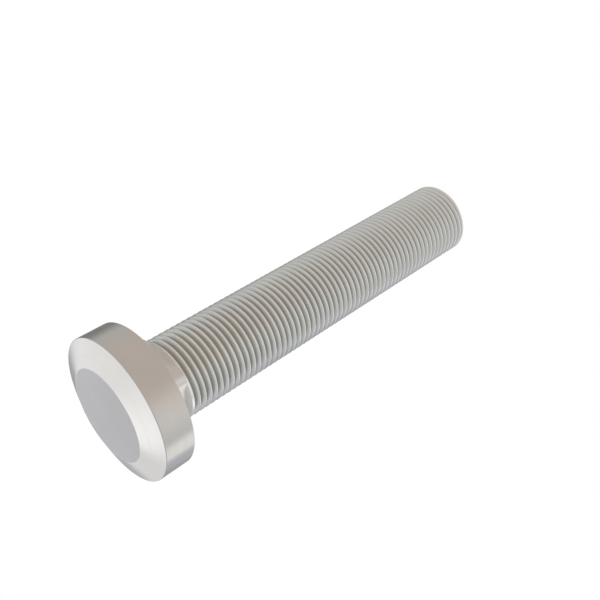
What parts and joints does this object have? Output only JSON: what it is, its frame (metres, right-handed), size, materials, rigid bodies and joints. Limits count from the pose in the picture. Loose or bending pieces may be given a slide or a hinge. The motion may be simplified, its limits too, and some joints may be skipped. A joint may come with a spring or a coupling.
{
  "type": "carriage bolt",
  "caption": "Steel bolt with a wide low bevelled head, a short square neck that stops it turning in timber, and a fine thread along the whole shank.",
  "frame": {"origin": "centre of the crown's flat, on which the bolt stands head down", "axes": "+Z along the shank from the head to the tip, X and Y square to the neck's flats"},
  "size_m": [0.034, 0.034, 0.1109],
  "materials": {
    "steel": "plain satin steel, turned head and cut thread"
  },
  "bodies": {
    "root": {"bolt": "steel"}
  },
  "joints": []
}
